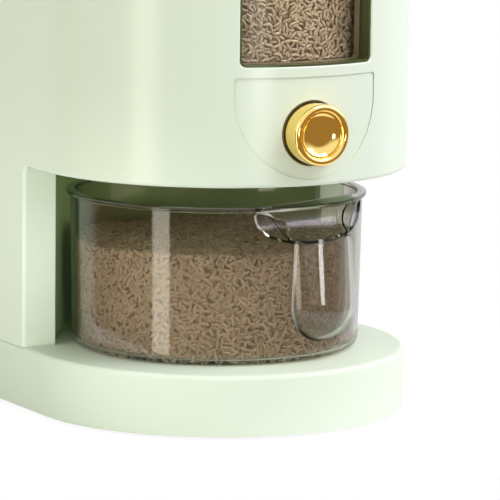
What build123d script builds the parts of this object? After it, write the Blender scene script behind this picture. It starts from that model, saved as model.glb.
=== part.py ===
from build123d import *
import math
import os

os.makedirs("parts", exist_ok=True)

# Rice dispenser in millimetres: +Z up, front towards -Y, origin under the middle of its box.
# The plan is a D: a round front, straight sides behind it and a flat back.
# The bowl sets the niche, and the niche sets the width and the levels of the body.

# Body plan and heights
post_width = 14.0
body_straight = 200.0
back_corner = 25.0
shell_wall = 3.0
base_lip = 0.6
foot_drop = 1.5
base_height = 30.0
upper_height = 231.0
edge_round = 1.8
niche_corner_round = 4.0

# Base
base_deck = 3.0
base_edge_round = 2.5
base_cover_thickness = 4.0
base_boss_radius = 4.5
cover_screw_inset = 14.0
cover_screw_angle = 50.0
foot_radius = 8.0
foot_socket = 1.2
foot_inset = 24.0
foot_angle = 40.0

# Bowl niche
post_setback = 25.7
bowl_side_room = 5.7
bowl_headroom = 12.8
recess_wall = 2.5
recess_flange = 10.0
post_edge_round = 1.0
ceiling_thickness = 3.0
ceiling_length = 90.0
case_boss_radius = 5.0
case_boss_height = 14.0
case_boss_bite = 1.0
ceiling_screw_angle = 60.0
ceiling_screw_setback = 75.0
case_screw_setback = 45.0
case_screw_inset = 40.0

# Window
window_half_width = 36.2
window_sill = 58.0
window_height = 130.0
window_corner = 3.0
window_lip_wall = 3.0
window_lip_depth = 8.0
window_seat = 3.0
window_edge_round = 0.8
liner_wall = 0.8
liner_recess = 0.9
pane_gap = 0.5
pane_thickness = 1.5
frame_depth = 2.0
frame_wall = 2.0

# Hopper
hopper_wall = 2.5
hopper_flange = 2.5
hopper_flange_inset = 1.5
outlet_half_width = 22.0
outlet_half_depth = 4.5
floor_lift = 1.5
sill_margin = 4.0
side_slope = 30.0
back_slope = 25.0

# Outlet chute, gate and its guide
chute_radius = 28.0
chute_wall = 2.5
chute_drop = 9.0
chute_flange_radius = 33.0
chute_flange = 2.0
gate_half_width = 30.0
gate_thickness = 3.0
gate_tail = 8.5
gate_shut_margin = 0.5
guide_floor = 2.5
guide_lip = 2.0
guide_side = 6.0
guide_lip_reach = 3.5
guide_half_length = 36.0
guide_pad = 8.0
slide_gap = 0.3
spout_margin = 2.0

# Push button
button_rise = 25.7
button_radius = 15.0
button_proud = 10.0
button_skirt = 17.0
button_wall = 2.5
button_rim = 2.0
dish_step = 0.6
dish_depth = 3.8
dish_floor_radius = 4.6
button_hub_radius = 6.5
button_hub = 8.0
panel_half_width = 38.9
panel_rise = 3.3
panel_height = 49.7
panel_corner = 2.0
panel_pocket = 1.6
panel_thickness = 1.0
bezel_wall = 0.6
bezel_proud = 0.3
bezel_flange = 2.5
bezel_flange_width = 5.0
button_boss_depth = 9.0
cup_wall = 1.7
cup_flange = 2.5
cup_room = 5.5
cup_end = 3.0
stem_radius = 4.0
stem_tip_radius = 3.0
lug_gap = 2.0
lug_half_width = 8.0
lug_thickness = 4.0
lug_margin = 5.0
nut_flats = 9.0
nut_height = 4.0
nut_overhang = 1.0
spring_radius = 9.0
spring_wire = 1.2
spring_turns = 7

# Lid, collar and hinge
collar_height = 6.0
collar_land = 12.5
lid_height = 11.6
lid_wall = 2.5
lid_round = 4.0
lid_gap = 0.4
lid_pull_half_width = 24.0
lid_pull_reach = 7.0
lid_pull_height = 4.0
lid_liner = 2.0
lid_boss_radius = 4.0
lid_screw_angle = 45.0
lid_screw_inset = 24.0
seal_inset = 6.0
seal_width = 4.0
seal_groove = 1.2
seal_gap = 0.1
hinge_strip = 30.0
hinge_gap = 2.0
hinge_root = 10.0
knuckle_inset = 35.0
knuckle_width = 16.0
knuckle_neck = 3.5
pin_radius = 1.5
pin_reach = 10.0

# Serving bowl
bowl_height = 77.9
bowl_top_radius = 73.5
bowl_draft = 1.3
bowl_corner = 5.0
bowl_wall = 2.5
bowl_rim_overhang = 1.8
bowl_rim = 2.2
bowl_rim_round = 0.8
bowl_turn = 17.7
grip_radius = 20.0
grip_proud = 11.0
grip_lean = 4.5
grip_wall = 2.0
grip_low = 28.4
grip_mouth_drop = 17.2
groove_radius = 14.5
groove_out = 3.8
groove_drop = 4.3
horn_spread = 38.0
horn_drop = 18.7
horn_radius = 17.6
horn_width = 1.8

# Screws
screw_shank = 1.5
screw_head = 3.0
screw_head_height = 1.8
screw_bite = 9.0
small_shank = 1.2
small_head = 2.2

# Clearances
fit_gap = 0.3
seat_gap = 0.1
thread_gap = 0.05
running_gap = 0.06
overrun = 5.0

# Levels and places that follow from the sizes above
bowl_low_radius = bowl_top_radius - bowl_draft
bowl_rim_radius = bowl_top_radius + bowl_rim_overhang
recess_radius = bowl_rim_radius + bowl_side_room
body_radius = recess_radius + post_width
niche_height = fit_gap + bowl_height + bowl_headroom
button_travel = 2 * outlet_half_depth + gate_shut_margin
knuckle_spread = body_radius - knuckle_inset
grip_mouth = bowl_height - grip_mouth_drop
groove_rise = bowl_height - groove_drop
horn_rise = bowl_height - horn_drop
round_y = (body_radius + button_proud - body_straight - base_lip) / 2
back_y = round_y + body_straight
base_top = foot_drop + base_height
niche_top = base_top + niche_height
housing_top = niche_top + upper_height
ceiling_top = niche_top + ceiling_thickness
sill_z = niche_top + window_sill
window_mid = sill_z + window_height / 2
button_z = niche_top + button_rise
post_y = round_y + post_setback
lip_radius = body_radius - window_lip_depth
pane_outer = lip_radius - pane_gap
hopper_radius = pane_outer - pane_thickness - seat_gap
hopper_inset = body_radius - hopper_radius
bin_inset = hopper_inset + hopper_wall
guide_z = ceiling_top + chute_flange
gate_z = guide_z + guide_floor + slide_gap
gate_top = gate_z + gate_thickness
guide_lip_z = gate_top + slide_gap
guide_top = guide_lip_z + guide_lip
guide_half_width = gate_half_width + slide_gap + guide_side
funnel_z = guide_top + spout_margin
collar_top = housing_top + collar_height
lid_z = collar_top + lid_gap
lid_top = lid_z + lid_height
hinge_y = back_y - hinge_strip
hinge_z = lid_z + lid_height / 2
nose_radius = lid_height / 2

middle = Align.CENTER
low_end = Align.MIN


def plan_face(inset):
    """The D-shaped plan, drawn in by inset all round."""
    radius = body_radius - inset
    corner = back_corner - inset
    far = back_y - inset
    bend = far - corner
    diagonal = corner * math.sqrt(0.5)
    edges = [
        ThreePointArc((-radius, round_y), (0, round_y - radius), (radius, round_y)),
        Line((radius, round_y), (radius, bend)),
        ThreePointArc(
            (radius, bend),
            (radius - corner + diagonal, bend + diagonal),
            (radius - corner, far),
        ),
        Line((radius - corner, far), (corner - radius, far)),
        ThreePointArc(
            (corner - radius, far),
            (corner - radius - diagonal, bend + diagonal),
            (-radius, bend),
        ),
        Line((-radius, bend), (-radius, round_y)),
    ]
    return Face(Wire(edges))


def plan_prism(inset, low, high):
    """A D-shaped block from one level to another."""
    return extrude(Pos(0, 0, low) * plan_face(inset), amount=high - low, dir=(0, 0, 1))


def block(x_span, y_span, z_span):
    """A box between three pairs of limits."""
    sizes = [span[1] - span[0] for span in (x_span, y_span, z_span)]
    corner = Pos(x_span[0], y_span[0], z_span[0])
    return corner * Box(*sizes, align=(low_end, low_end, low_end))


def rod_z(x, y, low, high, radius):
    return Pos(x, y, low) * Cylinder(radius, high - low, align=(middle, middle, low_end))


def rod_y(x, z, front, back, radius):
    turned = Rot(X=-90) * Cylinder(radius, back - front, align=(middle, middle, low_end))
    return Pos(x, front, z) * turned


def rod_x(left, right, y, z, radius):
    turned = Rot(Y=90) * Cylinder(radius, right - left, align=(middle, middle, low_end))
    return Pos(left, y, z) * turned


def front_prism(face, front, back):
    """A face drawn in x and z, pushed along Y from front to back."""
    flat = extrude(face, amount=back - front, dir=(0, 0, 1))
    return Pos(0, back, 0) * Rot(X=90) * flat


def round_band(inner, outer, low, high):
    """A ring about the round front's own axis."""
    return rod_z(0, round_y, low, high, outer) - rod_z(0, round_y, low, high, inner)


def mirrored(places):
    """Each place and its partner on the other side."""
    return [(side * x, y) for x, y in places for side in (-1, 1)]


def on_round(radius, angle):
    """A place on the round front, angle degrees from straight ahead."""
    turn = math.radians(angle)
    return radius * math.sin(turn), round_y - radius * math.cos(turn)


def screws_up(places, seat, length, shank, head):
    """Screws driven upwards, with their heads under the seat."""
    made = []
    for x, y in places:
        body = rod_z(x, y, seat - screw_head_height, seat, head)
        made.append(body + rod_z(x, y, seat, seat + length, shank))
    return made


def screws_down(places, seat, length, shank, head):
    """Screws driven downwards, with their heads on the seat."""
    made = []
    for x, y in places:
        body = rod_z(x, y, seat, seat + screw_head_height, head)
        made.append(body + rod_z(x, y, seat - length, seat, shank))
    return made


def drill(solid, places, low, high, radius):
    for x, y in places:
        solid -= rod_z(x, y, low, high, radius)
    return solid


# Places of the fasteners and feet
cover_screw_places = mirrored(
    [
        on_round(body_radius - cover_screw_inset, cover_screw_angle),
        (body_radius - cover_screw_inset, round_y + body_straight / 2),
        (body_radius - back_corner - cover_screw_inset, back_y - cover_screw_inset),
    ]
)
foot_places = mirrored(
    [
        on_round(body_radius - foot_inset, foot_angle),
        (body_radius - foot_inset, back_y - foot_inset),
    ]
)
case_boss_line = body_radius - shell_wall - case_boss_radius + case_boss_bite
case_screw_places = mirrored(
    [
        (case_boss_line, round_y + case_screw_setback),
        (case_boss_line, back_y - case_screw_inset),
    ]
)
ceiling_screw_places = mirrored(
    [
        on_round(case_boss_line, ceiling_screw_angle),
        (case_boss_line, round_y + ceiling_screw_setback),
    ]
)

# Base: a tray-like shell, closed underneath by a screwed cover on rubber feet
base_inside = shell_wall - base_lip
cover_top = foot_drop + base_cover_thickness
deck_low = base_top - base_deck
base_block = plan_prism(-base_lip, foot_drop, base_top)
base_block = fillet(base_block.faces().sort_by(Axis.Z)[-1].edges(), base_edge_round)
base_shell = base_block - plan_prism(base_inside, foot_drop, deck_low)
for x, y in cover_screw_places:
    base_shell += rod_z(x, y, cover_top, base_top - base_deck / 2, base_boss_radius)
base_shell = drill(base_shell, cover_screw_places, cover_top, deck_low, screw_shank + thread_gap)
base_shell = drill(
    base_shell, case_screw_places, deck_low, base_top, screw_shank + seat_gap
)

cover_seat = foot_drop + screw_head_height + seat_gap
base_cover = plan_prism(base_inside + fit_gap, foot_drop, cover_top)
base_cover = drill(base_cover, cover_screw_places, foot_drop, cover_top, screw_shank + seat_gap)
base_cover = drill(base_cover, cover_screw_places, foot_drop, cover_seat, screw_head + seat_gap)
foot_top = foot_drop + foot_socket
base_cover = drill(base_cover, foot_places, foot_drop, foot_top, foot_radius + seat_gap)
rubber_feet = [rod_z(x, y, 0, foot_top, foot_radius) for x, y in foot_places]
base_cover_screws = screws_up(
    cover_screw_places, cover_seat, screw_bite, screw_shank, screw_head
)


# Window outline, seen from the front, grown by an even margin
def window_face(grow):
    outline = RectangleRounded(
        2 * (window_half_width + grow), window_height + 2 * grow, window_corner + grow
    )
    return Pos(0, window_mid) * outline


# Panel outline round the button: straight sides on a half circle
def panel_face(shrink):
    half = panel_half_width - shrink
    top = niche_top + panel_rise + panel_height - shrink
    bend = niche_top + panel_rise + panel_half_width
    edges = [
        Line((-half, top), (-half, bend)),
        ThreePointArc((-half, bend), (0, bend - half), (half, bend)),
        Line((half, bend), (half, top)),
        Line((half, top), (-half, top)),
    ]
    outline = Sketch() + Face(Wire(edges))
    return fillet(outline.vertices().sort_by(Axis.Y)[-2:], panel_corner)


# Housing: one tall shell with the niche cut out of its lower front
front_far = round_y - body_radius - overrun
niche_block = block(
    (-body_radius - overrun, body_radius + overrun), (front_far, post_y), (0, niche_top)
)
housing_block = plan_prism(0, base_top, housing_top) - niche_block
inner_corner = (
    housing_block.edges()
    .filter_by(Axis.X)
    .filter_by_position(Axis.Y, post_y - fit_gap, post_y + fit_gap)
    .filter_by_position(Axis.Z, niche_top - fit_gap, niche_top + fit_gap)
)
housing_block = fillet(inner_corner, niche_corner_round)
under_edge = (
    housing_block.edges()
    .filter_by(GeomType.CIRCLE)
    .filter_by_position(Axis.Z, niche_top - fit_gap, niche_top + fit_gap)
    .sort_by(Axis.Y)[0]
)
housing_block = fillet(under_edge, edge_round)

column_y = post_y + shell_wall
upper_room = plan_prism(shell_wall, niche_top, housing_top)
column_room = plan_prism(shell_wall, base_top, niche_top) - block(
    (-body_radius, body_radius), (front_far, column_y), (base_top, niche_top)
)
housing_shell = housing_block - upper_room - column_room
housing_shell -= rod_z(0, round_y, base_top, niche_top, recess_radius)
recess_edges = (
    housing_shell.edges()
    .filter_by(Axis.Z)
    .filter_by_position(Axis.Y, post_y - fit_gap, post_y + fit_gap)
    .filter_by_position(Axis.X, -recess_radius, recess_radius)
)
housing_shell = fillet(recess_edges, post_edge_round)

for x, y in case_screw_places:
    housing_shell += rod_z(x, y, base_top, base_top + case_boss_height, case_boss_radius)
for x, y in ceiling_screw_places:
    housing_shell += rod_z(x, y, ceiling_top, ceiling_top + case_boss_height, case_boss_radius)
housing_shell = drill(
    housing_shell,
    case_screw_places,
    base_top,
    base_top + case_boss_height - base_deck,
    screw_shank + thread_gap,
)
housing_shell = drill(
    housing_shell,
    ceiling_screw_places,
    ceiling_top,
    ceiling_top + case_boss_height - base_deck,
    screw_shank + thread_gap,
)

# Window opening with a deep lip behind it
lip_low = sill_z - window_lip_wall
lip_high = sill_z + window_height + window_lip_wall
lip_band = round_band(lip_radius, body_radius - shell_wall / 2, lip_low, lip_high)
housing_shell += lip_band & front_prism(window_face(window_lip_wall), front_far, round_y)
housing_shell -= front_prism(window_face(0), front_far, round_y)


def on_window_edge(edge):
    """True for the edges round the window on the outside of the shell."""
    point = edge @ 0.5
    reach = math.hypot(point.X, point.Y - round_y)
    inside = abs(point.X) < window_half_width + seat_gap
    level = sill_z - seat_gap < point.Z < sill_z + window_height + seat_gap
    return point.Y < round_y and abs(reach - body_radius) < seat_gap and inside and level


housing_shell = fillet(housing_shell.edges().filter_by(on_window_edge), window_edge_round)

# Pocket, boss and hole for the button's panel and bezel
bezel_radius = button_radius + fit_gap + bezel_wall
bezel_rim_radius = bezel_radius + bezel_flange_width
boss_face = round_y - body_radius + button_boss_depth
boss_radius = bezel_rim_radius + seat_gap
button_boss = rod_y(0, button_z, round_y - body_radius, boss_face, boss_radius)
housing_shell += button_boss & plan_prism(shell_wall / 2, niche_top, housing_top)
panel_floor = body_radius - panel_pocket
panel_band = round_band(panel_floor, body_radius + overrun, niche_top, housing_top)
housing_shell -= panel_band & front_prism(panel_face(0), front_far, round_y)
housing_shell -= rod_y(0, button_z, front_far, boss_face, bezel_radius + seat_gap)
bezel_screw_circle = bezel_radius + bezel_flange_width / 2
bezel_screw_turns = [90 + 120 * step for step in range(3)]
bezel_screw_places = [
    (
        bezel_screw_circle * math.cos(math.radians(turn)),
        button_z + bezel_screw_circle * math.sin(math.radians(turn)),
    )
    for turn in bezel_screw_turns
]
bezel_screw_tip = boss_face - button_boss_depth / 2
for x, z in bezel_screw_places:
    housing_shell -= rod_y(x, z, bezel_screw_tip, boss_face, small_shank + thread_gap)

case_seat = deck_low
housing_screws = screws_up(case_screw_places, case_seat, screw_bite, screw_shank, screw_head)

# Curved back wall of the niche, held behind the posts by two flanges
recess_outer = recess_radius + recess_wall
niche_back_wall = round_band(recess_radius, recess_outer, base_top, niche_top)
niche_back_wall -= block(
    (-body_radius, body_radius), (front_far, column_y), (base_top, niche_top)
)
flange_reach = math.sqrt(recess_radius**2 - post_setback**2) + recess_flange
flanges = block(
    (-flange_reach, flange_reach), (column_y, column_y + recess_wall), (base_top, niche_top)
)
niche_back_wall += flanges - rod_z(0, round_y, base_top, niche_top, recess_radius)

# Ceiling of the niche, which carries the chute and the gate
ceiling_seat = niche_top + screw_head_height + seat_gap
niche_ceiling = plan_prism(shell_wall + fit_gap, niche_top, ceiling_top)
niche_ceiling -= block(
    (-body_radius, body_radius), (round_y + ceiling_length, back_y), (niche_top, ceiling_top)
)
niche_ceiling -= rod_z(0, round_y, niche_top, ceiling_top, chute_radius + seat_gap)
niche_ceiling -= rod_y(0, button_z, front_far, boss_face + fit_gap, boss_radius + fit_gap)
niche_ceiling = drill(
    niche_ceiling, ceiling_screw_places, niche_top, ceiling_top, screw_shank + seat_gap
)
niche_ceiling = drill(
    niche_ceiling, ceiling_screw_places, niche_top, ceiling_seat, screw_head + seat_gap
)
ceiling_screws = screws_up(
    ceiling_screw_places, ceiling_seat, screw_bite, screw_shank, screw_head
)

# Outlet chute, hung in the ceiling over the bowl
chute_low = niche_top - chute_drop
outlet_chute = rod_z(0, round_y, chute_low, guide_z, chute_radius)
outlet_chute += rod_z(0, round_y, ceiling_top, guide_z, chute_flange_radius)
outlet_chute -= rod_z(0, round_y, chute_low, guide_z, chute_radius - chute_wall)

# Gate guide: a channel with lips over the gate's edges
guide_span = (round_y - guide_half_length, round_y + guide_half_length)
gate_guide = block((-guide_half_width, guide_half_width), guide_span, (guide_z, guide_top))
channel_half = gate_half_width + slide_gap
gate_guide -= block(
    (-channel_half, channel_half), guide_span, (guide_z + guide_floor, guide_lip_z)
)
lip_half = channel_half - guide_lip_reach
gate_guide -= block((-lip_half, lip_half), guide_span, (guide_lip_z, guide_top))
slot_half_width = outlet_half_width + gate_shut_margin
slot_half_depth = outlet_half_depth + gate_shut_margin
gate_guide -= block(
    (-slot_half_width, slot_half_width),
    (round_y - slot_half_depth, round_y + slot_half_depth),
    (guide_z, guide_z + guide_floor),
)
pad_x = (guide_half_width - guide_pad, guide_half_width)
for side in (-1, 1):
    for end in (-1, 1):
        pad_y = (round_y + guide_half_length - guide_pad, round_y + guide_half_length)
        pad = block(pad_x, pad_y, (ceiling_top, guide_z))
        if side < 0:
            pad = mirror(pad, about=Plane.YZ)
        if end < 0:
            pad = mirror(pad, about=Plane.XZ.offset(-round_y))
        gate_guide += pad
guide_screw_x = guide_half_width - guide_side / 2
guide_screw_y = guide_half_length - guide_pad / 2
guide_screw_places = mirrored(
    [(guide_screw_x, round_y - guide_screw_y), (guide_screw_x, round_y + guide_screw_y)]
)
guide_screw_low = niche_top + ceiling_thickness / 3
guide_screw_length = guide_top - guide_screw_low
gate_guide = drill(
    gate_guide, guide_screw_places, ceiling_top, guide_top, small_shank + seat_gap
)
niche_ceiling = drill(
    niche_ceiling,
    guide_screw_places,
    guide_screw_low,
    ceiling_top,
    small_shank + thread_gap,
)
gate_guide_screws = screws_down(
    guide_screw_places, guide_top, guide_screw_length, small_shank, small_head
)


# Hopper: a lift-out bin whose sloped floor ends in a slot over the gate
def funnel(half_width, half_depth, low, front_tilt):
    """A four-sided funnel rising from a slot, each side at its own slope."""
    high = collar_top + overrun
    rise = high - low
    side = half_width + rise / math.tan(math.radians(side_slope))
    front = round_y - half_depth - rise / front_tilt
    back = round_y + half_depth + rise / math.tan(math.radians(back_slope))
    slot = [
        (-half_width, round_y - half_depth, low),
        (half_width, round_y - half_depth, low),
        (half_width, round_y + half_depth, low),
        (-half_width, round_y + half_depth, low),
    ]
    mouth = [(-side, front, high), (side, front, high), (side, back, high), (-side, back, high)]
    wires = [Wire.make_polygon(points) for points in (slot, mouth)]
    return Solid.make_loft(wires, ruled=True)


bin_radius = hopper_radius - hopper_wall
bin_low = funnel_z + floor_lift
floor_tilt = (sill_z - sill_margin - bin_low) / (bin_radius - outlet_half_depth)
spout_half_width = outlet_half_width + hopper_wall
spout_half_depth = outlet_half_depth + hopper_wall
spout_low = guide_lip_z
hopper = plan_prism(hopper_inset, funnel_z, housing_top) & funnel(
    spout_half_width, spout_half_depth, funnel_z, floor_tilt
)
hopper += block(
    (-spout_half_width, spout_half_width),
    (round_y - spout_half_depth, round_y + spout_half_depth),
    (spout_low, funnel_z + floor_lift / 2),
)
flange_top = housing_top + hopper_flange
hopper += plan_prism(hopper_flange_inset, housing_top, flange_top)
hopper -= plan_prism(bin_inset, bin_low, flange_top) & funnel(
    outlet_half_width, outlet_half_depth, bin_low, floor_tilt
)
hopper -= block(
    (-outlet_half_width, outlet_half_width),
    (round_y - outlet_half_depth, round_y + outlet_half_depth),
    (spout_low, bin_low + floor_lift),
)
pane_span = (sill_z - overrun, sill_z + window_height + overrun)
frame_margin = seat_gap + liner_wall
frame_band = round_band(bin_radius - frame_depth, bin_radius + hopper_wall / 2, *pane_span)
hopper += frame_band & front_prism(window_face(frame_wall), front_far, round_y)
hopper -= front_prism(window_face(-frame_margin), front_far, round_y)

# Window pane, trapped between the hopper's wall and the lip of the housing
pane_seat = hopper_radius + seat_gap
window_pane = round_band(pane_seat, pane_outer, *pane_span) & front_prism(
    window_face(window_seat), front_far, round_y
)
liner_low = pane_outer + seat_gap
liner_band = round_band(liner_low, body_radius - liner_recess, *pane_span)
liner_ring = front_prism(window_face(-seat_gap), front_far, round_y) - front_prism(
    window_face(-frame_margin), front_far, round_y
)
window_gasket = liner_band & liner_ring

# Button panel and bezel
panel_outer = panel_floor + panel_thickness
button_panel = round_band(panel_floor + seat_gap, panel_outer, niche_top, sill_z)
button_panel = button_panel & front_prism(panel_face(seat_gap), front_far, round_y)
button_panel -= rod_y(0, button_z, front_far, round_y, bezel_radius + seat_gap)

bezel_front = round_y - panel_outer - bezel_proud
bezel_back = boss_face + bezel_flange
button_bezel = rod_y(0, button_z, bezel_front, bezel_back, bezel_radius)
button_bezel -= round_band(panel_outer + bezel_proud, body_radius + button_proud, niche_top, housing_top)
button_bezel += rod_y(0, button_z, boss_face, bezel_back, bezel_rim_radius)
button_bezel -= rod_y(0, button_z, bezel_front, bezel_back, button_radius + fit_gap)
for x, z in bezel_screw_places:
    button_bezel -= rod_y(x, z, boss_face, bezel_back, small_shank + seat_gap)

# Button cap: a skirted cup with a rolled rim and a stepped dish
button_front = round_y - body_radius - button_proud
rim_inner = button_radius - 2 * button_rim
dish_edge = rim_inner - dish_step
skirt_inner = button_radius - button_wall
cap_floor = dish_depth + button_wall
cap_edges = [
    Line((0, dish_depth), (dish_floor_radius, dish_depth)),
    TangentArc((dish_floor_radius, dish_depth), (dish_edge, button_rim), tangent=(1, 0)),
    Line((dish_edge, button_rim), (rim_inner, button_rim)),
    ThreePointArc(
        (rim_inner, button_rim), (button_radius - button_rim, 0), (button_radius, button_rim)
    ),
    Line((button_radius, button_rim), (button_radius, button_skirt)),
    Line((button_radius, button_skirt), (skirt_inner, button_skirt)),
    Line((skirt_inner, button_skirt), (skirt_inner, cap_floor)),
    Line((skirt_inner, cap_floor), (0, cap_floor)),
    Line((0, cap_floor), (0, dish_depth)),
]
cap_turned = revolve(Face(Wire(cap_edges)), Axis.Y)
button_cap = Pos(0, button_front, button_z) * cap_turned
cap_back = button_front + cap_floor
button_cap += rod_y(0, button_z, cap_back, cap_back + button_hub, button_hub_radius)
button_cap -= rod_y(0, button_z, cap_back, cap_back + button_hub, stem_radius + thread_gap)

# Stem cup: guides the stem and carries the spring's back end
skirt_end = button_front + button_skirt
cup_front = bezel_back
cup_floor = skirt_end + button_travel + cup_room
cup_back = cup_floor + cup_end
cup_inner = button_radius + fit_gap
stem_cup = rod_y(0, button_z, cup_front, cup_back, cup_inner + cup_wall)
stem_cup += rod_y(0, button_z, cup_front, cup_front + cup_flange, bezel_rim_radius)
stem_cup -= rod_y(0, button_z, cup_front, cup_floor, cup_inner)
stem_cup -= rod_y(0, button_z, cup_floor, cup_back, stem_radius + running_gap)
for x, z in bezel_screw_places:
    stem_cup -= rod_y(x, z, cup_front, cup_front + cup_flange, small_shank + seat_gap)
cup_screw_seat = cup_front + cup_flange
stem_cup_screws = []
for x, z in bezel_screw_places:
    shank = rod_y(x, z, bezel_screw_tip + thread_gap, cup_screw_seat, small_shank)
    head = rod_y(x, z, cup_screw_seat, cup_screw_seat + screw_head_height, small_head)
    head -= rod_y(0, button_z, cup_screw_seat, cup_back, cup_inner + cup_wall + thread_gap)
    stem_cup_screws.append(shank + head)

# Stem, gate and the nut that joins them
lug_front = cup_back + lug_gap
lug_back = lug_front + lug_thickness
nut_back = lug_back + nut_height
button_stem = rod_y(0, button_z, cap_back, lug_front, stem_radius)
button_stem += rod_y(0, button_z, lug_front, nut_back + nut_overhang, stem_tip_radius)
lock_nut = front_prism(
    Pos(0, button_z) * RegularPolygon(nut_flats / 2, 6, major_radius=False), lug_back, nut_back
)
lock_nut -= rod_y(0, button_z, lug_back, nut_back, stem_tip_radius + thread_gap)

gate_back = round_y + outlet_half_depth + gate_tail
gate_slide = block((-gate_half_width, gate_half_width), (lug_front, gate_back), (gate_z, gate_top))
gate_slide += block(
    (-lug_half_width, lug_half_width), (lug_front, lug_back), (gate_z, button_z + lug_margin)
)
gate_slide -= rod_y(0, button_z, lug_front, lug_back, stem_tip_radius + thread_gap)
shut_y = round_y - button_travel
gate_slide -= block(
    (-outlet_half_width, outlet_half_width),
    (shut_y - outlet_half_depth, shut_y + outlet_half_depth),
    (gate_z, gate_top),
)


# Return spring: one unbroken wire, each quarter turn a pair of tangent arcs
def spring_point(turn, start, length):
    angle = 2 * math.pi * turn
    along = start + length * turn / spring_turns
    return Vector(
        spring_radius * math.cos(angle), along, button_z + spring_radius * math.sin(angle)
    )


def spring_tangent(turn, length):
    angle = 2 * math.pi * turn
    advance = length / (2 * math.pi * spring_turns)
    around = Vector(-spring_radius * math.sin(angle), advance, spring_radius * math.cos(angle))
    return around.normalized()


spring_start = cap_back + spring_wire / 2 + seat_gap
spring_length = cup_floor - spring_wire / 2 - seat_gap - spring_start
spring_edges = []
quarters = [step / 4 for step in range(4 * spring_turns + 1)]
for turn, following in zip(quarters, quarters[1:]):
    first = spring_point(turn, spring_start, spring_length)
    last = spring_point(following, spring_start, spring_length)
    leaving = spring_tangent(turn, spring_length)
    arriving = spring_tangent(following, spring_length)
    chord = last - first
    both = leaving + arriving
    square = both.dot(both) - 4
    reach = 2 * chord.dot(both)
    root = math.sqrt(reach**2 - 4 * square * chord.dot(chord))
    handle = (reach - root) / (2 * square)
    joint = (first + leaving * handle + last - arriving * handle) * 0.5
    along = (last - arriving * handle - first - leaving * handle).normalized()
    spring_edges.append(TangentArc(first, joint, tangent=leaving))
    spring_edges.append(TangentArc(joint, last, tangent=along))
spring_path = Wire(spring_edges)
spring_section = Plane(spring_path @ 0, z_dir=spring_path % 0) * Circle(spring_wire / 2)
return_spring = sweep(spring_section, path=spring_path)
spring_pitch_gap = spring_length / spring_turns - spring_wire
print("return spring: least gap between turns", round(spring_pitch_gap, 3), "mm")

# Top collar: traps the hopper's flange and carries the lid's hinge at the back
collar_step = flange_top + seat_gap
bridge_front = hinge_y + nose_radius + hinge_gap
bridge_span = (bridge_front, back_y + overrun)
wide = (-body_radius - overrun, body_radius + overrun)
mouth_span = (front_far, bridge_front)
top_collar = plan_prism(0, housing_top, collar_top)
top_collar -= plan_prism(hopper_flange_inset - seat_gap, housing_top, collar_step)
top_collar -= plan_prism(collar_land, collar_step, collar_top) & block(
    wide, mouth_span, (collar_step, collar_top)
)
lid_block = plan_prism(0, lid_z, lid_top)
lid_block = fillet(lid_block.faces().sort_by(Axis.Z)[-1].edges(), lid_round)
bridge_block = lid_block + plan_prism(0, collar_top - collar_height / 2, lid_z)
top_collar += bridge_block & block(wide, bridge_span, (collar_step, lid_top))
bridge_room = plan_prism(shell_wall, collar_step, lid_top - shell_wall)
top_collar -= bridge_room & block(
    wide, (back_y - collar_land, back_y), (collar_step, lid_top - shell_wall)
)
for side in (-1, 1):
    left = side * knuckle_spread - knuckle_width / 2
    right = side * knuckle_spread + knuckle_width / 2
    top_collar += rod_x(left, right, hinge_y, hinge_z, nose_radius - lid_gap)
    top_collar += block(
        (left, right),
        (hinge_y, bridge_front + shell_wall / 2),
        (hinge_z - knuckle_neck, hinge_z + knuckle_neck),
    )
    top_collar -= rod_x(left, right, hinge_y, hinge_z, pin_radius + thread_gap)

# Lid: a shallow hollow cover with a rounded hinge edge, closed below by its liner
lid_front = front_far - overrun
lid_shell = lid_block & block(wide, (lid_front, hinge_y), (lid_z, lid_top))
lid_shell += lid_block & rod_x(wide[0], wide[1], hinge_y, hinge_z, nose_radius)
pull_far = round_y - body_radius - lid_pull_reach
pull = block(
    (-lid_pull_half_width, lid_pull_half_width),
    (pull_far, round_y - body_radius + lid_pull_reach),
    (lid_z, lid_z + lid_pull_height),
)
pull_corners = pull.edges().filter_by(Axis.Z).sort_by(Axis.Y)[:2]
lid_shell += fillet(pull_corners, lid_pull_reach - lid_wall)
room_back = hinge_y - hinge_root
lid_room = plan_prism(lid_wall, lid_z, lid_top - lid_wall)
lid_shell -= lid_room & block(wide, (lid_front, room_back), (lid_z, lid_top - lid_wall))
lid_screw_places = mirrored(
    [
        on_round(body_radius - lid_screw_inset, lid_screw_angle),
        (body_radius - lid_screw_inset, room_back - lid_screw_inset),
    ]
)
liner_top = lid_z + lid_liner + seal_groove
for x, y in lid_screw_places:
    lid_shell += rod_z(x, y, liner_top, lid_top - lid_wall / 2, lid_boss_radius)
lid_shell = drill(
    lid_shell, lid_screw_places, liner_top, lid_top - lid_wall, small_shank + thread_gap
)
for side in (-1, 1):
    left = side * knuckle_spread - knuckle_width / 2
    right = side * knuckle_spread + knuckle_width / 2
    lid_shell -= block(
        (left - lid_gap, right + lid_gap),
        (hinge_y - nose_radius - lid_gap, hinge_y + nose_radius + lid_gap),
        (lid_z, lid_top),
    )
    hole = (left - pin_reach - lid_gap, right + pin_reach + lid_gap)
    lid_shell -= rod_x(hole[0], hole[1], hinge_y, hinge_z, pin_radius + running_gap)
hinge_pins = [
    rod_x(
        side * knuckle_spread - knuckle_width / 2 - pin_reach,
        side * knuckle_spread + knuckle_width / 2 + pin_reach,
        hinge_y,
        hinge_z,
        pin_radius,
    )
    for side in (-1, 1)
]

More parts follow.
